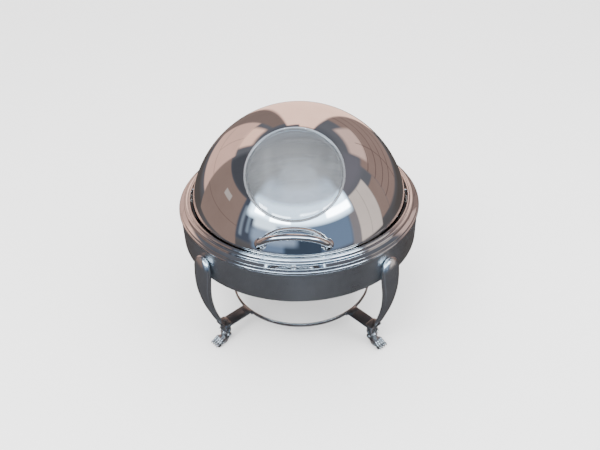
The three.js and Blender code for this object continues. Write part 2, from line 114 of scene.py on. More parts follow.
# ---- Shader helpers ----
class Shader:
    """A material's nodes, added one at a time."""

    def __init__(self, name):
        self.material = bpy.data.materials.new(name)
        self.material.use_nodes = True
        self.tree = self.material.node_tree
        self.principled = self.tree.nodes["Principled BSDF"]

    def node(self, kind, settings=None, **inputs):
        made = self.tree.nodes.new(kind)
        for key, value in (settings or {}).items():
            setattr(made, key, value)
        for key, value in inputs.items():
            self.feed(made.inputs[key.replace("_", " ")], value)
        return made

    def feed(self, socket, value):
        if isinstance(value, bpy.types.NodeSocket):
            self.tree.links.new(value, socket)
        else:
            socket.default_value = value

    def math(self, operation, first, second=0.0):
        made = self.tree.nodes.new("ShaderNodeMath")
        made.operation = operation
        self.feed(made.inputs[0], first)
        self.feed(made.inputs[1], second)
        return made.outputs[0]

    def position(self):
        return self.node("ShaderNodeTexCoord").outputs["Object"]

    def stretched(self, scale):
        return self.node("ShaderNodeMapping", Vector=self.position(), Scale=scale).outputs["Vector"]

    def noise(self, vector, scale, detail=3.0, roughness=0.5):
        made = self.node("ShaderNodeTexNoise", Vector=vector, Scale=scale, Detail=detail, Roughness=roughness)
        return made.outputs["Fac"]

    def ranged(self, value, low, high, to_low, to_high):
        """Maps low..high of a value to to_low..to_high, and holds it there."""
        made = self.tree.nodes.new("ShaderNodeMapRange")
        for socket, number in zip(made.inputs, (value, low, high, to_low, to_high)):
            self.feed(socket, number)
        return made.outputs["Result"]

    def mixed(self, factor, first, second):
        made = self.tree.nodes.new("ShaderNodeMix")
        made.data_type = "RGBA"
        for index, value in ((0, factor), (6, first), (7, second)):
            self.feed(made.inputs[index], value)
        return made.outputs[2]

    def bump(self, height, distance, strength=1.0):
        made = self.node("ShaderNodeBump", Height=height, Distance=distance, Strength=strength)
        return made.outputs["Normal"]

    def blend(self, factor, first, second):
        """Two shaders mixed by a factor."""
        made = self.node("ShaderNodeMixShader", Fac=factor)
        self.tree.links.new(first, made.inputs[1])
        self.tree.links.new(second, made.inputs[2])
        return made.outputs["Shader"]

    def surface(self, socket):
        """Shows a shader instead of the Principled one."""
        self.tree.links.new(socket, self.tree.nodes["Material Output"].inputs["Surface"])
        self.tree.nodes.remove(self.principled)

    def finish(self, **inputs):
        for key, value in inputs.items():
            self.feed(self.principled.inputs[key.replace("_", " ")], value)
        return self.material


SCRATCH_DEPTH = 0.000003  # metres, as are the other relief depths of the materials


def grey(value, warm=0.0):
    """A grey, turned warmer above 0 and cooler below."""
    return (value * (1 + warm), value, value * (1 - warm), 1)


def round_grain(shader):
    """Lines that run round the upright axis, as a spun or rolled piece is brushed."""
    split = shader.node("ShaderNodeSeparateXYZ", Vector=shader.position())
    angle = shader.math("ARCTAN2", split.outputs["Y"], split.outputs["X"])
    squares = shader.math("MULTIPLY", split.outputs["X"], split.outputs["X"])
    squares = shader.math("ADD", squares, shader.math("MULTIPLY", split.outputs["Y"], split.outputs["Y"]))
    radius = shader.math("SQRT", squares)
    return shader.node("ShaderNodeCombineXYZ", X=angle, Y=radius, Z=split.outputs["Z"]).outputs["Vector"]


def steel(name, tint, roughness, smudge, wave=0.0, grain=None, grain_depth=0.0, warm=0.01, pits=0.0,
          metallic=1.0):
    """Stainless steel: smudged gloss, hairline scratches, a slow wave in the sheet and an optional grain."""
    shader = Shader(name)
    place = shader.position()
    cloud = shader.noise(place, 14.0, 4.0, 0.6)
    streak = shader.noise(shader.stretched((60, 900, 60)), 1.0, 4.0, 0.7)
    scratch = shader.noise(shader.stretched((900, 260, 520)), 1.0, 5.0, 0.75)
    colour = shader.mixed(
        shader.ranged(cloud, 0.3, 0.7, 0, 1), grey(tint * 0.93, warm), grey(tint * 1.04, warm * 0.4)
    )
    gloss = shader.ranged(cloud, 0.35, 0.75, roughness, roughness + smudge)
    lines = shader.ranged(streak, 0.62, 0.8, 0, smudge * 0.5)
    fine = shader.math("MULTIPLY", shader.ranged(scratch, 0.62, 0.78, 0, 1), SCRATCH_DEPTH)
    slow = shader.math("MULTIPLY", shader.noise(place, 5.0, 1.0), wave)
    height = shader.math("ADD", fine, slow)
    if grain:
        brushed = shader.node("ShaderNodeMapping", Vector=round_grain(shader), Scale=grain)
        hair = shader.noise(brushed.outputs["Vector"], 1.0, 6.0, 0.8)
        height = shader.math("ADD", height, shader.math("MULTIPLY", hair, grain_depth))
        gloss = shader.math("ADD", gloss, shader.ranged(hair, 0.3, 0.7, -0.04, 0.05))
        colour = shader.mixed(shader.ranged(hair, 0.35, 0.65, 0, 0.35), colour, grey(tint * 0.72, warm))
    if pits:
        rough = shader.noise(place, 900.0, 3.0, 0.6)
        height = shader.math("ADD", height, shader.math("MULTIPLY", rough, pits))
    return shader.finish(
        Base_Color=colour,
        Metallic=metallic,
        Roughness=shader.math("ADD", gloss, lines),
        Normal=shader.bump(height, 1.0),
    )


def cast_steel():
    """Tumbled casting: bright with wear on the high edges, and dull in the hollows, where painted shade
    darkens the colour nearly to black.
    """
    shader = Shader("cast_steel")
    point = shader.node("ShaderNodeNewGeometry").outputs["Pointiness"]
    edge_wear_and_hollow_shade = shader.ranged(point, 0.44, 0.56, 0, 1)
    cloud = shader.noise(shader.position(), 120.0, 5.0, 0.6)
    spots = shader.noise(shader.position(), 1400.0, 4.0, 0.6)
    high = shader.mixed(cloud, grey(0.62, 0.01), grey(0.86, 0.0))
    # Painted shade: pointiness darkens the hollows nearly to black, and the high edges show brighter worn
    # metal.
    colour = shader.mixed(edge_wear_and_hollow_shade, grey(0.10, 0.03), high)
    gloss = shader.math("ADD", shader.ranged(edge_wear_and_hollow_shade, 0, 1, 0.42, 0.12), shader.ranged(cloud, 0.4, 0.7, 0, 0.1))
    height = shader.math("MULTIPLY", spots, 0.00018)
    return shader.finish(Base_Color=colour, Metallic=1.0, Roughness=gloss, Normal=shader.bump(height, 1.0))


def window_glass():
    """Clear glass with a thin haze, wiping marks and a reflection that grows toward the edge."""
    shader = Shader("window_glass")
    smear = shader.noise(shader.stretched((30, 9, 9)), 1.0, 5.0, 0.6)
    dust = shader.noise(shader.position(), 420.0, 2.0, 0.5)
    wiped = shader.ranged(smear, 0.4, 0.7, 0.0, 0.05)
    gloss = shader.math("ADD", wiped, shader.ranged(dust, 0.66, 0.8, 0.0, 0.1))
    mirror = shader.node("ShaderNodeBsdfGlossy", Color=grey(0.93, -0.02), Roughness=gloss).outputs["BSDF"]
    haze = shader.ranged(smear, 0.35, 0.75, 0.86, 0.78)
    tint = shader.node("ShaderNodeCombineColor", Red=haze, Green=haze, Blue=haze).outputs["Color"]
    clear = shader.node("ShaderNodeBsdfTransparent", Color=tint).outputs["BSDF"]
    film = shader.node("ShaderNodeBsdfDiffuse", Color=grey(0.86, -0.05)).outputs["BSDF"]
    filmed = shader.blend(shader.ranged(smear, 0.3, 0.8, 0.03, 0.07), clear, film)
    edge = shader.node("ShaderNodeLayerWeight", Blend=0.32).outputs["Fresnel"]
    shader.surface(shader.blend(shader.ranged(edge, 0.0, 1.0, 0.2, 1.0), filmed, mirror))
    return shader.material


def moulded(name, dark, light, roughness, scale):
    """Moulded rubber or plastic with a fine skin and dusty patches."""
    shader = Shader(name)
    skin = shader.noise(shader.position(), scale, 4.0, 0.6)
    dust = shader.noise(shader.position(), 60.0, 3.0, 0.6)
    colour = shader.mixed(shader.ranged(dust, 0.4, 0.7, 0, 1), dark, light)
    gloss = shader.ranged(dust, 0.3, 0.7, roughness - 0.08, roughness + 0.08)
    height = shader.math("MULTIPLY", skin, 0.00012)
    return shader.finish(Base_Color=colour, Roughness=gloss, Normal=shader.bump(height, 1.0))


def make_materials():
    spun_grain = {"grain": (2, 1800, 1800), "grain_depth": 0.000003}
    satin_grain = {"grain": (3, 900, 2600), "grain_depth": 0.00002}
    pan_grain = {"grain": (3, 1500, 900), "grain_depth": 0.00002}
    return {
        "mirror": steel("mirror_steel", 0.84, 0.02, 0.04, wave=0.0005),
        "rim": steel("rim_steel", 0.72, 0.05, 0.04, warm=-0.03),
        "spun": steel("spun_steel", 0.74, 0.12, 0.08, **spun_grain),
        "bead": steel("bead_steel", 0.66, 0.16, 0.06, metallic=0.92, warm=-0.03),
        "satin": steel("satin_steel", 0.66, 0.27, 0.08, warm=-0.035, **satin_grain),
        "leg": steel("leg_steel", 0.72, 0.19, 0.08, wave=0.0006, warm=-0.04),
        "sheet": steel("sheet_steel", 0.60, 0.3, 0.1, wave=0.0002),
        "strap": steel("strap_steel", 0.40, 0.26, 0.1, wave=0.0003, warm=-0.12),
        "pan": steel("pan_steel", 0.74, 0.24, 0.1, metallic=0.6, warm=-0.05, **pan_grain),
        "inside": steel("inside_steel", 0.62, 0.2, 0.1, wave=0.0006, metallic=0.86, warm=-0.05),
        "fastener": steel("fastener_steel", 0.8, 0.12, 0.1, pits=0.00002),
        "cast": cast_steel(),
        "glass": window_glass(),
        "rubber": moulded("stop_rubber", grey(0.012), grey(0.05), 0.72, 2200.0),
        "nylon": moulded("spacer_nylon", grey(0.52, 0.03), grey(0.72, 0.04), 0.5, 1300.0),
    }


# ---- Mesh helpers ----
def new_piece(name, part, material, body):
    """A smooth mesh from points in millimetres, in place of the frame's node of that name."""
    points, faces = part
    mesh = bpy.data.meshes.new(f"{name}_fine")
    mesh.from_pydata([tuple(Vector(p) * MM) for p in points], [], faces)
    work = bmesh.new()
    work.from_mesh(mesh)
    bmesh.ops.remove_doubles(work, verts=work.verts, dist=1e-6)
    bmesh.ops.recalc_face_normals(work, faces=work.faces)
    work.to_mesh(mesh)
    work.free()
    return place_mesh(name, mesh, material, body)


def place_mesh(name, mesh, material, body):
    """Shades a mesh and sets it riding on a body, with its material slot."""
    mesh.shade_smooth()
    mesh.set_sharp_from_angle(angle=SHARP_EDGE)
    mesh.materials.clear()
    mesh.materials.append(material)
    piece = bpy.data.objects.new(f"{name}_fine", mesh)
    bpy.context.scene.collection.objects.link(piece)
    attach(piece, body)
    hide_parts(name)
    return piece


def arc(middle, radius, start, end, steps):
    """Points on a circle round middle, from one angle to another in degrees."""
    angles = [radians(start + (end - start) * i / steps) for i in range(steps + 1)]
    return [(middle[0] + radius * cos(a), middle[1] + radius * sin(a)) for a in angles]


def softened(outline, radius, steps=4):
    """Rounds every corner of a closed outline of 2-D points."""
    made = []
    count = len(outline)
    for i, corner in enumerate(outline):
        here = Vector(corner)
        back = Vector(outline[i - 1]) - here
        ahead = Vector(outline[(i + 1) % count]) - here
        cut_back = min(radius, back.length * 0.45)
        cut_ahead = min(radius, ahead.length * 0.45)
        start = here + back.normalized() * cut_back
        end = here + ahead.normalized() * cut_ahead
        for step in range(steps + 1):
            t = step / steps
            made.append(start.lerp(here, t).lerp(here.lerp(end, t), t))
    return [tuple(p) for p in made]


def ring_section(outer, inner, bottom, top, radius):
    """The softened rectangle that a plain ring is turned from."""
    return softened([(outer, bottom), (outer, top), (inner, top), (inner, bottom)], radius)


def frame_of(direction):
    """A direction at unit length, with two more square to it."""
    axis = Vector(direction).normalized()
    helper = Vector((0, 0, 1)) if abs(axis.z) < 0.9 else Vector((1, 0, 0))
    across = helper.cross(axis).normalized()
    return axis, across, axis.cross(across)


def turned(outline, sides=ROUND_SIDES, origin=(0, 0, 0), direction=(0, 0, 1), six_sided=()):
    """Points and faces of a closed outline of (radius, height) turned round a line.

    Rows in six_sided are drawn in to a hexagon, for a key socket."""
    axis, across, up = frame_of(direction)
    points = []
    for i in range(sides):
        angle = 2 * math.pi * i / sides
        ray = across * cos(angle) + up * sin(angle)
        hexagon = cos(math.pi / 6) / cos((angle % (math.pi / 3)) - math.pi / 6)
        for row, (radius, height) in enumerate(outline):
            reach = radius * (hexagon if row in six_sided else 1)
            points.append(Vector(origin) + ray * reach + axis * height)
    return points, wrapped_faces(sides, len(outline))


def wrapped_faces(rows, columns):
    """Faces of a grid of points that closes on itself both ways."""
    faces = []
    for i in range(rows):
        for j in range(columns):
            ahead, beside = (i + 1) % rows, (j + 1) % columns
            corners = (i * columns + j, ahead * columns + j, ahead * columns + beside, i * columns + beside)
            faces.append(corners)
    return faces


def skin(sections):
    """Points and faces of a row of closed sections, with flat ends."""
    count = len(sections[0])
    points = [p for section in sections for p in section]
    faces = []
    for row in range(len(sections) - 1):
        for i in range(count):
            beside = (i + 1) % count
            faces.append(
                (row * count + i, row * count + beside, (row + 1) * count + beside, (row + 1) * count + i)
            )
    last = (len(sections) - 1) * count
    faces.append(tuple(range(count))[::-1])
    faces.append(tuple(range(last, last + count)))
    return points, faces


def joined(*parts):
    """Several (points, faces) as one."""
    points, faces = [], []
    for part_points, part_faces in parts:
        base = len(points)
        points.extend(part_points)
        faces.extend(tuple(i + base for i in face) for face in part_faces)
    return points, faces


def swung(part, degrees):
    points, faces = part
    turn = Matrix.Rotation(radians(degrees), 3, "Z")
    return [turn @ Vector(p) for p in points], faces


def slab(low, high, radius):
    """A plate between two corners, with rounded upright edges and softened top and bottom."""
    (x0, y0, z0), (x1, y1, z1) = low, high
    corner = min(radius * 2, (x1 - x0) * 0.4, (y1 - y0) * 0.4)
    plan = softened([(x0, y0), (x1, y0), (x1, y1), (x0, y1)], corner * 2)
    middle = Vector(((x0 + x1) / 2, (y0 + y1) / 2))
    edge = min(radius, (z1 - z0) * 0.4)
    levels = [(z0, edge), (z0 + edge * 0.3, edge * 0.3), (z0 + edge, 0)]
    levels += [(z1 - edge, 0), (z1 - edge * 0.3, edge * 0.3), (z1, edge)]
    return skin([[inset_point(p, middle, inset, height) for p in plan] for height, inset in levels])


def inset_point(point, middle, inset, height):
    """A point of a plan, moved in toward the middle and set at a height."""
    offset = Vector(point) - middle
    offset.x -= math.copysign(min(inset, abs(offset.x)), offset.x)
    offset.y -= math.copysign(min(inset, abs(offset.y)), offset.y)
    return Vector((middle.x + offset.x, middle.y + offset.y, height))


def smooth_path(controls, count):
    """Points on a centripetal Catmull-Rom curve through the controls."""
    knots = [Vector(p) for p in controls]
    knots = [knots[0] * 2 - knots[1], *knots, knots[-1] * 2 - knots[-2]]
    times = [0.0]
    for a, b in zip(knots, knots[1:]):
        times.append(times[-1] + (b - a).length ** 0.5)
    path = []
    spans = len(controls) - 1
    for i in range(count):
        place = i / (count - 1) * spans
        span = min(int(place), spans - 1) + 1
        t = times[span] + (place - span + 1) * (times[span + 1] - times[span])
        path.append(catmull(knots[span - 1:span + 3], times[span - 1:span + 3], t))
    return path


def catmull(points, times, t):
    """The Barry-Goldman pyramid for one curve span: each level blends neighbours over wider time spans."""
    level = list(points)
    for spans in (((0, 1), (1, 2), (2, 3)), ((0, 2), (1, 3)), ((1, 2),)):
        shares = [(t - times[start]) / (times[end] - times[start]) for start, end in spans]
        level = [level[i].lerp(level[i + 1], share) for i, share in enumerate(shares)]
    return level[0]


def tube(path, radius_at, sides=40):
    """Sections round a path, without twist."""
    sections = []
    side = None
    for i, here in enumerate(path):
        ahead = (path[min(i + 1, len(path) - 1)] - path[max(i - 1, 0)]).normalized()
        side = frame_of(ahead)[1] if side is None else (side - ahead * side.dot(ahead)).normalized()
        up = ahead.cross(side)
        radius = radius_at(i / (len(path) - 1))
        ring = [2 * math.pi * k / sides for k in range(sides)]
        sections.append([here + (side * cos(a) + up * sin(a)) * radius for a in ring])
    return skin(sections)


# ---- Stand ----
def rim_outline():
    """Closed section of the rim: lip, step, sloping flat ring and two beads."""
    outer = [
        (238.2, 254.0),
        *arc((237.4, 258.2), 2.6, -50, 88, 16),
        (236.9, 260.9),
        *arc((235.2, 263.4), 1.3, 0, 62, 6),
        (229.3, 266.9),
        (228.9, 267.6),
        *arc((225.4, 269.4), 3.6, -18, 122, 18),
        (222.0, 272.0),
        *arc((218.7, 273.0), 2.5, 10, 180, 16),
        (216.2, 265),
    ]
    inner = [
        (217.7, 265),
        (218.2, 270.4),
        (226.4, 266.2),
        (234, 261.4),
        (234.6, 258.9),
        (236.6, 258.1),
        (236.9, 254.0),
    ]
    return outer + inner


def build_rim(materials):
    """The stepped, beaded ring on top of the band."""
    new_piece("rim_ring", turned(softened(rim_outline(), 0.35, steps=2)), materials["rim"], "stand")


def build_band(materials):
    """The satin band under the rim, with a flange turned in at its foot."""
    inner = BAND_RADIUS - SHEET
    outline = [
        (BAND_RADIUS, BAND_BOTTOM),
        (BAND_RADIUS, BAND_TOP),
        (inner, BAND_TOP),
        (inner, BAND_BOTTOM + SHEET),
        (inner - BAND_FLANGE, BAND_BOTTOM + SHEET),
        (inner - BAND_FLANGE, BAND_BOTTOM),
    ]
    new_piece("body_band", turned(softened(outline, 1.3)), materials["satin"], "stand")


RIVET_SECTION = [
    (AXIS, -8.4), (2.7, -8.2), (2.7, -6.6), (2.3, -6.6), (2.3, 0.2), (4.7, 0.2), (4.4, 1.4), (3.1, 2),
    (2.1, 1.6), (1.9, -3), (AXIS, -3),
]
RIVET_HOLE = {"radius": 2.2, "bottom": -3.5, "top": 1}


def build_rim_rivets(materials):
    """Pop rivets through the flat ring, with painted shade down the hole in the middle: its faces take the
    black rubber material.
    """
    outline = softened(RIVET_SECTION, 0.4)
    for place, angle in RIVET_ANGLES.items():
        part = swung(turned(outline, SMALL_SIDES, RIVET_SEAT, RIVET_TILT), angle)
        rivet = new_piece(f"rim_rivet_{place}", part, materials["fastener"], "stand")
        # The black rubber material is painted shade inside the rivet's hole.
        rivet.data.materials.append(materials["rubber"])
        swing = Matrix.Rotation(radians(angle), 4, "Z")
        seat = (swing @ RIVET_SEAT) * MM
        axis = swing @ RIVET_TILT
        for face in rivet.data.polygons:
            offset = face.center - seat
            height = offset.dot(axis)
            across = (offset - axis * height).length
            level = RIVET_HOLE["bottom"] * MM < height < RIVET_HOLE["top"] * MM
            face.material_index = int(level and across < RIVET_HOLE["radius"] * MM)


# Height, distance from the dish's axis, half width and half depth of a leg.
LEG_STATIONS = [
    (48, 215, 13, 7),
    (58, 220.5, 9, 6),
    (72, 228, 8, 5.5),
    (92, 235, 8.6, 6),
    (115, 241.5, 10.5, 7.5),
    (140, 246, 14, 9),
    (170, 248, 18.5, 10.5),
    (195, 246.6, 21.5, 10.5),
    (212, 245, 22, 10),
]
LEG_CROWN_RISE = 28
CROWN_LEAN = 0.08  # how far the crown leans in for its rise
LEG_SIDES = 72
LEG_ROWS = 110
CROWN_ROWS = 28
CROWN_STEP = 3.17  # degrees of the crown's round between rows
FLAT_FROM = 165  # the leg's back lies against the band above this height
FLAT_BLEND = 14


def leg_sections():
    """Level sections of the leg: an oval, flat where it lies against the band, under a domed crown."""
    stations = np.array(LEG_STATIONS, float)
    heights = np.linspace(stations[0, 0], stations[-1, 0], LEG_ROWS)
    rows = [np.array([h, *(smooth_value(stations, h, k) for k in (1, 2, 3))]) for h in heights]
    top = rows[-1]
    for step in range(1, CROWN_ROWS + 1):
        angle = radians(step * CROWN_STEP)
        rise = LEG_CROWN_RISE * sin(angle)
        rows.append(np.array([top[0] + rise, top[1] - CROWN_LEAN * rise, *(top[2:] * cos(angle))]))
    return [leg_ring(*row) for row in rows]


def smooth_value(stations, height, column):
    """A column of the table between its rows, by Hermite interpolation."""
    x, y = stations[:, 0], stations[:, column]
    slopes = np.gradient(y, x)
    i = int(np.clip(np.searchsorted(x, height) - 1, 0, len(x) - 2))
    span = x[i + 1] - x[i]
    t = (height - x[i]) / span
    leaving = (2 * t**3 - 3 * t**2 + 1) * y[i] + (t**3 - 2 * t**2 + t) * slopes[i] * span
    arriving = (3 * t**2 - 2 * t**3) * y[i + 1] + (t**3 - t**2) * slopes[i + 1] * span
    return leaving + arriving


def leg_ring(height, distance, half_width, half_depth):
    """One level section, cut flat on its back where it meets the band."""
    flat = LEG_FACE - FLAT_BLEND * max(0.0, 1 - max(0.0, height - FLAT_FROM) / FLAT_BLEND)
    ring = []
    for i in range(LEG_SIDES):
        angle = 2 * math.pi * i / LEG_SIDES
        x = distance + half_depth * math.copysign(abs(cos(angle)) ** 0.9, cos(angle))
        y = half_width * math.copysign(abs(sin(angle)) ** 0.92, sin(angle))
        ring.append(Vector((max(x, flat), y, height)))
    return ring


SOCKET_ROWS = range(3, 9)  # of a softened screw outline: the key socket's wall


def build_legs(materials):
    """Tusk-shaped legs on a foot plate, each with a socket screw from inside the band."""
    plate = slab((204, -STRAP_HALF_WIDTH, ANKLE_HEIGHT), (221, STRAP_HALF_WIDTH, ANKLE_HEIGHT + 3), 0.9)
    whole = joined(skin(leg_sections()), plate)
    socket = [(AXIS, 1.6), (1.9, 1.6), (1.9, 4.3)]
    head = [(3.8, 4.2), (6, 1.6), (6, 0)]
    shank = [(3, 0), (3, -10), (AXIS, -10)]
    screw = softened([*socket, *head, *shank], 0.4)
    for place, angle in LEG_ANGLES.items():
        new_piece(f"leg_{place}", swung(whole, angle), materials["leg"], "stand")
        seat = (BAND_RADIUS - SHEET - 0.6, 0, LEG_SCREW_HEIGHT)
        fixing = swung(turned(screw, SMALL_SIDES, seat, (-1, 0, 0), SOCKET_ROWS), angle)
        new_piece(f"leg_screw_{place}", fixing, materials["fastener"], "stand")


def build_straps(materials):
    """Flat straps from the ankles to the hoop, turned down at the hoop under a small weld tab."""
    face = HOOP_RADIUS + GAP
    half = STRAP_HALF_WIDTH
    strap = slab((face, -half, 44.4), (219, half, 47.6), 0.7)
    lip = slab((face, -half, 38), (face + 2.5, half, 47.4), 0.5)
    tab = slab((face + 3.2, -11.5, 47.3), (face + 13, 11.5, 48.5), 0.4)
    for place, angle in LEG_ANGLES.items():
        new_piece(f"strap_{place}", swung(joined(strap, lip, tab), angle), materials["strap"], "stand")


# ---- Paw feet ----
def ball(middle, radii, tilt=0.0, rows=10, sides=16):
    """An ellipsoid, leaned about the cross axis."""
    lean = Matrix.Rotation(radians(tilt), 3, "Y")
    ring = [radians(360 * k / sides) for k in range(sides)]
    sections = []
    for i in range(rows + 1):
        up = radians(-89 + 178 * i / rows)
        level = [(cos(up) * cos(a), cos(up) * sin(a), sin(up)) for a in ring]
        stretched = [Vector([reach * share for reach, share in zip(radii, point)]) for point in level]
        sections.append([Vector(middle) + lean @ point for point in stretched])
    return skin(sections)


def limb(path, radii):
    """A tapering tube through control points."""
    points = smooth_path(path, 24)
    return tube(points, lambda t: float(np.interp(t, np.linspace(0, 1, len(radii)), radii)), 14)


def toe(y, splay):
    """One toe: knuckle, pad and raised claw."""
    knuckle = ball((229.5, y, 12.2), (5.4, 2.9, 4.6), 25)
    middle = ball((234.6, y + splay * 0.5, 9.4), (5.0, 2.9, 4.2), 35)
    pad = ball((238.0, y + splay, 5.4), (4.4, 2.8, 4.2))
    claw = limb([(239.5, y + splay, 8.6), (243.2, y + splay, 8.4), (245.8, y + splay, 5.0)], (2.0, 1.6, 0.6))
    return [knuckle, middle, pad, claw]


def leaf(y, lean, length, width):
    """A pointed leaf lobe that runs down the ankle and lifts at its tip."""
    path = [
        (214.2, y, 42.5),
        (216.4, y + lean * 0.3, 36),
        (217.6, y + lean * 0.7, 42.5 - length * 0.55),
        (220.6, y + lean, 42.5 - length * 0.82),
        (223.0, y + lean, 42.5 - length * 0.80),
    ]
    return limb(path, (width * 0.6, width, width * 0.9, width * 0.6, width * 0.35))


def scroll(side):
    """A spiral curl on the side of the heel."""
    middle = Vector((212.0, side * 8.2, 17.5))
    path = []
    for step in range(9):
        angle = radians(100 + step * 55)
        reach = 5.4 - step * 0.56
        path.append(middle + Vector((cos(angle) * reach, side * step * 0.14, sin(angle) * reach)))
    stem = [Vector((207.2, side * 8.6, 39)), Vector((207.0, side * 8.8, 30))]
    return limb([*stem, *path], (1.6, 2.0, 1.9, 1.7, 1.5, 1.3, 1.0))


TOES = ((-7.8, -0.9), (-2.7, -0.3), (2.7, 0.3), (7.8, 0.9))  # place across the foot, splay
LEAVES = (  # place across the ankle, lean, length, width
    (0, 0, 25, 2.6),
    (-4.6, -1.6, 21, 2.2),
    (4.6, 1.6, 21, 2.2),
    (-8.2, -0.8, 15, 1.8),
    (8.2, 0.8, 15, 1.8),
)
REMESH_SIZE = 0.62


def paw_parts():
    """Ankle, heel, sole, toes, leaves, scrolls and heel ribs of a paw that points along +X."""
    parts = [
        ball((211.4, 0, 40.5), (7.2, 11.0, 8.6)),
        ball((212.4, 0, 29.0), (6.6, 8.6, 12.0), 10),
        ball((216.0, 0, 19.5), (7.6, 8.6, 10.0), 30),
        ball((224.2, 0, 10.6), (9.6, 9.4, 7.4), 20),
        ball((223.6, 0, 3.6), (13.0, 9.2, 5.0)),
        ball((213.0, 0, 9.4), (4.8, 7.0, 8.0)),
        slab((204.6, -11.6, 40.6), (218.6, 11.6, FOOT_TOP), 1.0),
    ]
    for y, splay in TOES:
        parts.extend(toe(y, splay))
    parts.extend(leaf(*row) for row in LEAVES)
    parts.extend(scroll(side) for side in (-1, 1))
    for y in (-6, -2, 2, 6):
        parts.append(limb([(205.8, y, 41), (205.6, y, 32), (208.6, y * 0.8, 20)], (1.3, 1.5, 0.9)))
    return joined(*parts)


def paw_mesh():
    """The parts melted into one casting, cut flat at the floor and under the strap."""
    points, faces = paw_parts()
    mesh = bpy.data.meshes.new("paw_blocks")
    mesh.from_pydata([tuple(p * MM) for p in points], [], faces)
    holder = bpy.data.objects.new("paw_blocks", mesh)
    bpy.context.scene.collection.objects.link(holder)
    melt = holder.modifiers.new("melt", "REMESH")
    melt.mode = "VOXEL"
    melt.voxel_size = REMESH_SIZE * MM
    soften = holder.modifiers.new("soften", "SMOOTH")
    soften.factor = 0.5
    soften.iterations = 2
    melted = bpy.data.meshes.new_from_object(holder.evaluated_get(bpy.context.evaluated_depsgraph_get()))
    bpy.data.objects.remove(holder)
    for vertex in melted.vertices:
        vertex.co.z = min(max(vertex.co.z, 0.0), FOOT_TOP * MM)
    return melted


def build_feet(materials):
    melted = paw_mesh()
    for place, angle in LEG_ANGLES.items():
        mesh = melted.copy()
        mesh.transform(Matrix.Rotation(radians(angle), 4, "Z"))
        piece = place_mesh(f"paw_foot_{place}", mesh, materials["cast"], "stand")
        piece.data.shade_smooth()


def build_hoop(materials):
    outline = ring_section(HOOP_RADIUS, HOOP_RADIUS - HOOP_THICKNESS, HOOP_BOTTOM, HOOP_TOP, 0.8)
    new_piece("lower_hoop", turned(outline), materials["spun"], "stand")


def build_support(materials):
    """The ring that carries the water pan, and the rubber stops that the shut cover rests on."""
    bottom = SUPPORT_TOP - SUPPORT_THICKNESS
    ring = ring_section(SUPPORT_OUTER, SUPPORT_INNER, bottom, SUPPORT_TOP, 0.8)
    new_piece("pan_support_ring", turned(ring), materials["satin"], "stand")
    crown = COVER_EDGE - GAP
    stop = softened([(AXIS, bottom), (6, bottom), (6, bottom + SUPPORT_THICKNESS), (4.6, crown - 3),
                     (3.6, crown), (AXIS, crown)], 1.0)
    for side in ("left", "right"):
        part = swung(turned(stop, SMALL_SIDES, (STOP_RADIUS, 0, 0)), SUPPORT_ANGLES[f"inner_{side}"])
        new_piece(f"cover_stop_{side}", part, materials["rubber"], "stand")


PIN_START = 206.4
SPACER_START = 213.2
EAR_RIVET_START = 204
EAR_RIVET_HEIGHT = 274


def build_pivots(materials):
    """The pins that the cover rolls on, their nylon spacers and the rivets in the cover's ears."""
    pin = softened([(AXIS, 0), (6, 0), (7, 1), (7, 3.2), (3.5, 3.2), (3.5, 25),
                    (AXIS, 25)], 0.6)
    spacer = ring_section(7.5, 4, 0, 9.6, 0.5)
    rivet = softened([(AXIS, 0), (3.2, 0.2), (3.8, 1.6), (2, 1.6), (2, 9.6), (4, 9.6), (3.4, 10.6),
                      (AXIS, 11)], 0.4)
    rows = (
        ("pivot_pin", pin, PIN_START, PIVOT_HEIGHT, "fastener", "stand", "polished_steel"),
        ("pivot_spacer", spacer, SPACER_START, PIVOT_HEIGHT, "nylon", "stand", "nylon"),
        ("ear_rivet", rivet, EAR_RIVET_START, EAR_RIVET_HEIGHT, "fastener", "roll_cover", "polished_steel"),
    )
    for side, angle in SIDES.items():
        for name, outline, start, height, material, body, slot in rows:
            part = swung(turned(outline, SMALL_SIDES, (start, 0, height), (1, 0, 0)), angle)
            new_piece(f"{name}_{side}", part, materials[material], body)


# ---- Pans ----
def pan_outline(flange, wall, depth, corner, top):
    """Closed outline of a pan with a sloping wall, a round corner and a rolled flange."""
    floor = top - depth
    return [
        (AXIS, floor),
        *arc((wall - WALL_SLOPE - SHEET - corner, floor + corner), corner, -90, -3, 10),
        (wall - SHEET, top - 2.5),
        *arc((wall + 1.6, top - 2.2), 2.2, 170, 90, 5),
        *arc((flange - 0.75, top - 0.75), 0.75, 90, -90, 6),
        (wall + 2.2, top - SHEET),
        (wall, top - 4.2),
        *arc((wall - WALL_SLOPE - corner, floor + corner), corner + SHEET, -3, -90, 10),
        (AXIS, floor - SHEET),
    ]


def build_pans(materials):
    """Two nested pans, brushed inside and plain sheet on their outer walls and undersides."""
    water_top = SUPPORT_TOP + GAP + SHEET
    food_top = water_top + GAP + SHEET
    for name, body, sizes, top in (
        ("water_pan", "water_bath", WATER_PAN, water_top),
        ("food_pan", "food_tray", FOOD_PAN, food_top),
    ):
        shape = turned(pan_outline(**sizes, top=top))
        pan = new_piece(name, shape, materials["pan"], body)
        pan.data.materials.append(materials["sheet"])
        for face in pan.data.polygons:
            outward = face.center.x * face.normal.x + face.center.y * face.normal.y > 0.02
            face.material_index = int(outward or face.normal.z < -0.3)


# ---- Cover ----
def on_window(radius, degrees):
    """Distance from the window's axis and along it, for an angle from that axis."""
    return radius * sin(radians(degrees)), radius * cos(radians(degrees))


def edge_angle(turn, radius):
    """Angle from the window's axis to the cover's level edge, in one direction round that axis."""
    axis, across, up = frame_of(WINDOW_AXIS)
    lift = across.z * cos(turn) + up.z * sin(turn)
    reach = (COVER_EDGE - DOME_CENTRE.z) / radius
    return math.atan2(lift, axis.z) + math.acos(reach / math.hypot(axis.z, lift))


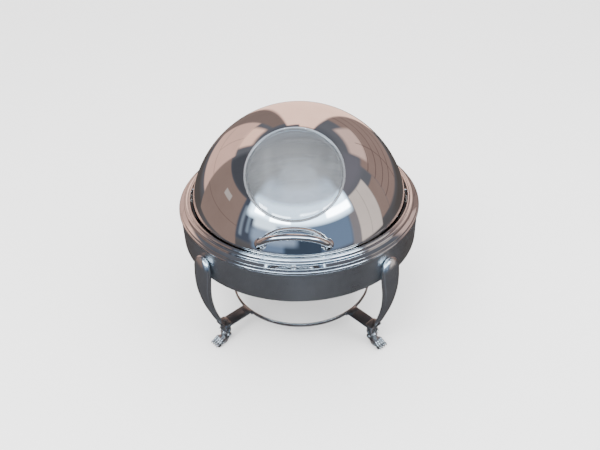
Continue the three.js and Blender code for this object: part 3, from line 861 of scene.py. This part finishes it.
def dome_row(turn, radius, shares):
    """Points from the window's hole to the level edge, at shares of that way."""
    axis, across, up = frame_of(WINDOW_AXIS)
    outward = across * cos(turn) + up * sin(turn)
    start = radians(HOLE_ANGLE)
    end = edge_angle(turn, radius)
    angles = [start + (end - start) * share for share in shares]
    return [DOME_CENTRE + (axis * cos(a) + outward * sin(a)) * radius for a in angles]


DOME_EDGE = 0.004  # share of a row that rounds its ends
DOME_EDGE_TIP = 0.0015


def build_dome(materials):
    """The spherical shell, on lines that run from the window to the level edge."""
    shares = [i / DOME_ROWS for i in range(DOME_ROWS + 1)]
    inset = [DOME_EDGE + (1 - 2 * DOME_EDGE) * share for share in shares]
    points = []
    for i in range(DOME_SIDES):
        turn = 2 * math.pi * i / DOME_SIDES
        outer = dome_row(turn, DOME_RADIUS, inset)
        middle = dome_row(turn, DOME_RADIUS - SHEET / 2, (DOME_EDGE_TIP, 1 - DOME_EDGE_TIP))
        inner = dome_row(turn, DOME_RADIUS - SHEET, inset)
        points.extend([middle[0], *outer, middle[1], *reversed(inner)])
    faces = wrapped_faces(DOME_SIDES, 2 * (DOME_ROWS + 1) + 2)
    dome = new_piece("dome_cover", (points, faces), materials["mirror"], "roll_cover")
    dome.data.materials.append(materials["inside"])
    limit = (DOME_RADIUS - SHEET * 0.8) * MM
    for face in dome.data.polygons:
        face.material_index = int((face.center - DOME_CENTRE * MM).length < limit)


BEZEL_SECTION = (  # height over the dome, degrees from the window's axis
    (0.1, 23.02), (0.9, 23.05), (1.6, 23.12), (1.9, 23.25), (1.75, 23.38), (1.2, 23.5), (1.0, 23.6),
    (1.2, 23.7), (1.75, 23.8), (1.9, 23.92), (1.6, 24.06), (0.9, 24.14), (0.1, 24.18),
)


def glass_section():
    """A domed pane with softened edges."""
    face = DOME_RADIUS - 0.2
    back = face - GLASS_THICKNESS
    steps = 24
    outline = [on_window(face, GLASS_ANGLE * i / steps) for i in range(steps)]
    outline += [on_window(face - 0.3, GLASS_ANGLE - 0.02), on_window(face - 0.8, GLASS_ANGLE)]
    outline += [on_window(back + 0.8, GLASS_ANGLE), on_window(back + 0.3, GLASS_ANGLE - 0.02)]
    outline += [on_window(back, GLASS_ANGLE * i / steps) for i in reversed(range(steps))]
    return [(max(r, AXIS), z) for r, z in outline]


def retainer_section():
    """A ring that steps from the back of the glass to the back of the sheet."""
    glass_back = DOME_RADIUS - GLASS_THICKNESS - 1
    sheet_back = DOME_RADIUS - SHEET - 1.4
    outline = [(glass_back, 22.6), (glass_back, 23.5), (sheet_back, 23.9), (sheet_back, 25.6)]
    outline += [(glass_back - 1.4, 25.6), (glass_back - 1.4, 22.6)]
    return softened([on_window(radius, angle) for radius, angle in outline], 0.5)


def build_window(materials):
    """The glass, a beaded bezel round it and a retainer behind it."""
    bezel = [on_window(DOME_RADIUS + height, angle) for height, angle in BEZEL_SECTION]
    for name, outline, material, slot in (
        ("window_glass", glass_section(), "glass", "glass"),
        ("window_bezel", bezel, "bead", "polished_steel"),
        ("window_retainer", retainer_section(), "bead", "satin_steel"),
    ):
        ring = turned(outline, ROUND_SIDES, DOME_CENTRE, WINDOW_AXIS)
        new_piece(name, ring, materials[material], "roll_cover")


HANDLE_SHOULDER = 13  # the bar's line over the dome where the bow begins
HANDLE_END = 6.7
ARCH_PLACES = (-0.94, -0.62, 0, 0.62, 0.94)


def handle_direction(side):
    """From the dome's centre to a handle foot: -1 is left and 1 is right."""
    level = cos(HANDLE_ELEVATION)
    return Vector((side * level * sin(HANDLE_SPREAD), -level * cos(HANDLE_SPREAD), sin(HANDLE_ELEVATION)))


def handle_line():
    """Points on the bar's line: out of one foot, over the bow and into the other foot."""
    reach = DOME_RADIUS + BOW_CLEARANCE
    middle = DOME_CENTRE + Vector((0, -cos(BOW_ELEVATION) * reach, sin(BOW_ELEVATION) * reach))
    shoulder = DOME_CENTRE + handle_direction(1) * (DOME_RADIUS + HANDLE_SHOULDER)
    arch = []
    for across in ARCH_PLACES:
        lift = math.sqrt(1 - across**2)
        arch.append(Vector((
            across * shoulder.x,
            shoulder.y + (middle.y - shoulder.y) * lift,
            shoulder.z + (middle.z - shoulder.z) * lift,
        )))
    left, right = (DOME_CENTRE + handle_direction(side) * (DOME_RADIUS + HANDLE_END) for side in (-1, 1))
    return [left, *arch, right]


def bar_radius(t):
    """The bar thickens a little toward its feet."""
    near_end = max(0.0, 1 - min(t, 1 - t) / 0.14)
    return HANDLE_BAR_RADIUS + 0.7 * near_end**2


def build_handle(materials):
    """A round bar on two turned feet, each screwed on from inside the dome."""
    path = smooth_path(handle_line(), 140)
    new_piece("handle_bar", tube(path, bar_radius, 48), materials["mirror"], "roll_cover")
    foot = softened([(3, 0.15), (11.2, 0.15), (11.4, 1.6), (9.6, 3.2), (8.1, 4.6), (7.5, 6.6), (3, 6.6)], 0.9)
    socket = [(AXIS, -4.2), (1.7, -4.2), (1.7, -6.4)]
    head = [(3.2, -6.4), (4.6, -5.6), (5, -3)]
    shank = [(2.4, -3), (2.4, 10), (AXIS, 10)]
    screw = softened([*socket, *head, *shank], 0.4)
    for name, side in (("left", -1), ("right", 1)):
        seat = DOME_CENTRE + handle_direction(side) * DOME_RADIUS
        new_piece(f"handle_foot_{name}", turned(foot, 96, seat, handle_direction(side)),
                  materials["mirror"], "roll_cover")
        fixing = turned(screw, SMALL_SIDES, seat, handle_direction(side), SOCKET_ROWS)
        new_piece(f"handle_screw_{name}", fixing, materials["fastener"], "roll_cover")


# ---- Burner ----
COLLAR_HEIGHT = 16
BURNER_STRAP_THICKNESS = 3
BURNER_MIDDLE = (0, BURNER_Y, 0)
LID_MIDDLE = (LID_PIVOT, BURNER_Y, 0)


def cup_section():
    """A fuel cup with a groove round its wall and an open mouth."""
    wall = CUP_RADIUS - SHEET - 1
    outside = [(AXIS, CUP_BOTTOM), (CUP_RADIUS - 1.2, CUP_BOTTOM), (CUP_RADIUS, CUP_BOTTOM + 1.2)]
    groove = [(CUP_RADIUS, 52.4), (CUP_RADIUS - 0.7, 53.2), (CUP_RADIUS - 0.7, 54.8), (CUP_RADIUS, 55.6)]
    mouth = [(CUP_RADIUS, CUP_TOP - 2), (CUP_RADIUS - 2, CUP_TOP), (28, CUP_TOP), (28, CUP_TOP - SHEET)]
    inside = [(wall, CUP_TOP - SHEET), (wall, CUP_BOTTOM + SHEET), (AXIS, CUP_BOTTOM + SHEET)]
    return softened([*outside, *groove, *mouth, *inside], 0.8)


def build_burner(materials):
    """A strap with a collar across the hoop, the fuel cup in the collar and the cup's lid."""
    low = CUP_BOTTOM - GAP - BURNER_STRAP_THICKNESS
    collar = ring_section(CUP_RADIUS + 2, CUP_RADIUS + 0.6, low, low + COLLAR_HEIGHT, 0.5)
    strap = slab((-HOOP_RADIUS + 2, BURNER_Y - 10, low),
                 (HOOP_RADIUS - 2, BURNER_Y + 10, low + BURNER_STRAP_THICKNESS), 0.7)
    holder = joined(strap, turned(collar, CUP_SIDES, BURNER_MIDDLE))
    new_piece("burner_strap", holder, materials["strap"], "stand")
    post = softened([(AXIS, CUP_TOP - 1), (2, CUP_TOP - 1), (2, CUP_TOP + 4),
                     (AXIS, CUP_TOP + 4)], 0.3)
    whole = joined(turned(cup_section(), CUP_SIDES, BURNER_MIDDLE), turned(post, SMALL_SIDES, LID_MIDDLE))
    new_piece("fuel_cup", whole, materials["satin"], "burner")
    build_lid(materials)


def build_lid(materials):
    """The lid that snuffs the flame: a stepped disc with a tab, on a lug round the cup's post."""
    low = CUP_TOP + GAP
    high = low + SHEET
    disc = softened([(AXIS, low), (33, low), (33, high), (26, high), (25, high - 0.5),
                     (23, high - 0.5), (22, high), (AXIS, high)], 0.4)
    lug = turned(ring_section(5, 2.5, low, high, 0.3), SMALL_SIDES, LID_MIDDLE)
    tab = slab((-46, BURNER_Y - 6, low), (-28, BURNER_Y + 6, high), 0.5)
    whole = joined(turned(disc, CUP_SIDES, BURNER_MIDDLE), lug, tab)
    new_piece("snuffer_lid", whole, materials["sheet"], "snuffer")


# ---- Pieces kept from the frame ----
KEPT = ("pivot_bracket", "pivot_ear", "support_bracket", "rim_tab")


def finish_kept(materials):
    """The bent sheet parts keep their frame mesh, with softened edges."""
    for name, node in nodes.items():
        if not name.startswith(KEPT):
            continue
        node.data.materials.clear()
        node.data.materials.append(materials["sheet"])
        soft = node.modifiers.new("soft_edges", "BEVEL")
        soft.width = 0.45 * MM
        soft.segments = 3
        soft.limit_method = "ANGLE"
        soft.angle_limit = radians(25)
        soft.harden_normals = True


# ---- Studio ----
CAMERA_AIM = Vector((0, 0, 184.8)) * MM
CAMERA_DISTANCE = 1.3
CAMERA_ELEVATION = radians(36.61)
CAMERA_YAW = radians(3.15)
CAMERA_ROLL = -0.0286
CAMERA_LENS = 37.23
CAMERA_SHIFT = 0.00065


def make_camera():
    data = bpy.data.cameras.new("camera")
    data.lens = CAMERA_LENS
    data.shift_x = CAMERA_SHIFT
    camera = bpy.data.objects.new("camera", data)
    level = cos(CAMERA_ELEVATION)
    away = Vector((level * sin(CAMERA_YAW), -level * cos(CAMERA_YAW), sin(CAMERA_ELEVATION)))
    turn = away.to_track_quat("Z", "Y").to_matrix().to_4x4()
    camera.matrix_world = (
        Matrix.Translation(CAMERA_AIM + away * CAMERA_DISTANCE) @ turn @ Matrix.Rotation(CAMERA_ROLL, 4, "Z")
    )
    bpy.context.scene.collection.objects.link(camera)
    bpy.context.scene.camera = camera


def stage_piece(name, points, faces, material):
    mesh = bpy.data.meshes.new(name)
    mesh.from_pydata(points, [], faces)
    mesh.shade_smooth()
    mesh.materials.append(material)
    piece = bpy.data.objects.new(name, mesh)
    bpy.context.scene.collection.objects.link(piece)
    return piece


FLOOR_HALF = 9.0


def make_floor():
    """A plain pale floor that the steel does not mirror."""
    shader = Shader("pale_floor")
    cloud = shader.noise(shader.position(), 3.0, 3.0)
    material = shader.finish(Base_Color=shader.mixed(cloud, grey(0.86), grey(0.88)), Roughness=0.8)
    corners = [(FLOOR_HALF * x, FLOOR_HALF * y, 0) for x, y in ((-1, -1), (1, -1), (1, 1), (-1, 1))]
    floor = stage_piece("floor", corners, [(0, 1, 2, 3)], material)
    floor.visible_glossy = False


# Cards that the steel mirrors: azimuth from the front toward +X, elevation, edge softness and colour.
CARDS = [
    ((-180, 180), (-90, -9), 5, (0.105, 0.092, 0.088)),
    ((-112, 112), (-90, -9), 9, (0.122, 0.119, 0.127)),
    ((-180, -112), (50, 76), 4, (0.125, 0.132, 0.16)),
    ((124, 180), (52, 80), 4, (0.125, 0.135, 0.16)),
    ((-112, -50), (28, 46), 3, (0.085, 0.09, 0.108)),
    ((58, 112), (33, 50), 4, (0.20, 0.195, 0.23)),
    ((-114, -60), (-15, 29), 0.6, (0.33, 0.235, 0.205)),
    ((-88, -77), (16, 21), 0.4, (0.62, 0.55, 0.52)),
    ((-152, -114), (-5, 32), 1.0, (1.03, 0.65, 0.54)),
    ((-146, -122), (32, 46), 2.0, (1.6, 1.0, 0.78)),
    ((-166, -152), (-18, 48), 1.2, (0.27, 0.20, 0.18)),
    ((-180, -166), (-13, 52), 1.2, (1.9, 1.2, 0.96)),
    ((162, 180), (-13, 55), 1.2, (1.9, 1.22, 0.97)),
    ((104, 162), (-8, 33), 1.5, (0.36, 0.25, 0.22)),
    ((114, 148), (26, 43), 2, (0.95, 0.66, 0.58)),
    ((90, 104), (-8, 21), 0.8, (0.35, 0.25, 0.22)),
    ((63, 90), (-13, 30), 0.8, (0.93, 0.81, 0.75)),
    ((54, 63), (-13, 26), 0.8, (0.30, 0.28, 0.30)),
    ((-60, -44), (-7, 30), 1.5, (0.085, 0.10, 0.14)),
    ((-57, -54), (-3, 24), 1.2, (0.30, 0.36, 0.46)),
    ((-50, -47), (2, 22), 1.2, (0.30, 0.38, 0.50)),
    ((-10, 14), (-62, -16), 8, (0.17, 0.175, 0.195)),
    ((-42, 54), (-10, 19), 2, (0.20, 0.29, 0.45)),
    ((-40, -14), (7, 19), 2, (0.45, 0.55, 0.75)),
    ((-12, 24), (-14, 5), 2, (0.06, 0.085, 0.13)),
    ((-42, 46), (54, 76), 6, (0.50, 0.58, 0.70)),
    ((-50, 56), (36, 56), 5, (1.1, 1.4, 1.8)),
    ((-52, 60), (19, 38), 3, (3.4, 4.5, 5.6)),
    ((-43, -20), (11, 20), 2, (1.7, 2.1, 2.5)),
    ((-44, 0), (-2, 9), 3, (0.40, 0.52, 0.72)),
    ((-46, -34), (23, 31), 0.8, (13.0, 14.5, 16.0)),
    ((-28, -6), (20, 25), 0.8, (12.0, 14.0, 15.5)),
    ((4, 26), (26, 30), 0.8, (9.0, 11.0, 12.5)),
    ((32, 60), (22, 29), 1.0, (13.0, 14.5, 16.0)),
]
SEAMS = [
    ((-152, -114), (8.2, 8.8), (0.5, 0.33, 0.28)),
    ((-133.6, -133), (8.8, 32), (0.55, 0.36, 0.3)),
    ((-114, -60), (2.6, 3.2), (0.22, 0.155, 0.135)),
    ((104, 162), (0.4, 1.1), (0.14, 0.10, 0.09)),
    ((104, 162), (8.2, 8.9), (0.15, 0.105, 0.095)),
    ((104, 162), (16.6, 17.3), (0.16, 0.11, 0.10)),
    ((104, 162), (25, 25.7), (0.15, 0.11, 0.10)),
    ((130.5, 131.2), (-8, 33), (0.15, 0.105, 0.095)),
    ((76, 76.6), (-13, 30), (0.55, 0.47, 0.43)),
]
SEAM_SOFTNESS = 0.25
SKY_COLOUR = (0.165, 0.17, 0.195, 1)
WORLD_STRENGTH = 3.0
SHELL_RADIUS = 3.0
SHELL_HEIGHT = 0.23
SHELL_SIDES = 128
SHELL_ROWS = 64


def card_mask(shader, azimuth, elevation, across, upward, soft):
    """1 on a card and 0 off it, with soft edges."""
    edges = []
    for value, (low, high) in ((azimuth, across), (elevation, upward)):
        if low > -180:
            edges.append(shader.ranged(value, low - soft, low + soft, 0, 1))
        if high < 180:
            edges.append(shader.ranged(value, high - soft, high + soft, 1, 0))
    mask = edges[0]
    for edge in edges[1:]:
        mask = shader.math("MULTIPLY", mask, edge)
    return mask


def make_reflection_shell():
    """Coloured cards all round the dish, seen only in its reflections."""
    shader = Shader("studio_cards")
    split = shader.node("ShaderNodeSeparateXYZ", Vector=shader.position())
    x, y, z = (split.outputs[k] for k in "XYZ")
    front = shader.math("MULTIPLY", y, -1.0)
    azimuth = shader.math("MULTIPLY", shader.math("ARCTAN2", x, front), 180 / math.pi)
    sine = shader.math("DIVIDE", z, SHELL_RADIUS)
    elevation = shader.math("MULTIPLY", shader.math("ARCSINE", sine), 180 / math.pi)
    colour = SKY_COLOUR
    seams = [(across, upward, SEAM_SOFTNESS, tone) for across, upward, tone in SEAMS]
    for across, upward, soft, tone in CARDS + seams:
        mask = card_mask(shader, azimuth, elevation, across, upward, soft)
        colour = shader.mixed(mask, colour, (*tone, 1))
    glow = shader.node("ShaderNodeEmission", Color=colour, Strength=1.0)
    shader.surface(glow.outputs["Emission"])
    ring = [radians(360 * k / SHELL_SIDES) for k in range(SHELL_SIDES)]
    sections = []
    for i in range(SHELL_ROWS + 1):
        up = radians(-89.9 + 179.8 * i / SHELL_ROWS)
        level = [Vector((cos(up) * cos(a), cos(up) * sin(a), sin(up))) for a in ring]
        sections.append([point * SHELL_RADIUS for point in level])
    points, faces = skin(sections)
    shell = stage_piece("studio_cards", [tuple(p) for p in points], faces, shader.material)
    shell.location.z = SHELL_HEIGHT
    shell.visible_camera = False
    shell.visible_diffuse = False
    shell.visible_shadow = False


AREA_LIGHTS = (  # name, place, size, power and colour
    ("key", (-0.8, -1.2, 2.0), 1.4, 55, (1.0, 0.99, 0.97)),
    ("fill", (1.5, -0.6, 1.5), 1.6, 25, (0.97, 0.98, 1.0)),
)
WINDOW_LAMP_POWER = 170
WINDOW_LAMP_ANGLE = radians(13)
WINDOW_LAMP_DISTANCE = 1200


def area_light(name, place, size, power, colour):
    data = bpy.data.lights.new(name, "AREA")
    data.shape = "DISK"
    data.size = size
    data.energy = power
    data.color = colour
    light = bpy.data.objects.new(name, data)
    light.location = place
    light.rotation_euler = (Vector(place) - CAMERA_AIM).to_track_quat("Z", "Y").to_euler()
    light.visible_camera = False
    light.visible_glossy = False
    bpy.context.scene.collection.objects.link(light)


def make_lights():
    world = bpy.data.worlds.new("studio")
    world.use_nodes = True
    background = world.node_tree.nodes["Background"]
    background.inputs["Color"].default_value = (1, 1, 1, 1)
    background.inputs["Strength"].default_value = WORLD_STRENGTH
    bpy.context.scene.world = world
    for row in AREA_LIGHTS:
        area_light(*row)
    window_lamp()


def window_lamp():
    """A narrow lamp that shines in through the window, so that the pans can be seen."""
    data = bpy.data.lights.new("window_lamp", "SPOT")
    data.spot_size = WINDOW_LAMP_ANGLE
    data.spot_blend = 0.25
    data.shadow_soft_size = 0.08
    data.energy = WINDOW_LAMP_POWER
    lamp = bpy.data.objects.new("window_lamp", data)
    lamp.location = (DOME_CENTRE + WINDOW_AXIS * WINDOW_LAMP_DISTANCE) * MM
    lamp.rotation_euler = WINDOW_AXIS.to_track_quat("Z", "Y").to_euler()
    lamp.visible_camera = False
    lamp.visible_glossy = False
    bpy.context.scene.collection.objects.link(lamp)


def main():
    make_camera()
    make_floor()
    make_reflection_shell()
    make_lights()
    materials = make_materials()
    for build in (build_rim, build_band, build_rim_rivets, build_legs, build_straps, build_feet, build_hoop,
                  build_support, build_pivots, build_pans, build_dome, build_window, build_handle,
                  build_burner, finish_kept):
        build(materials)


main()
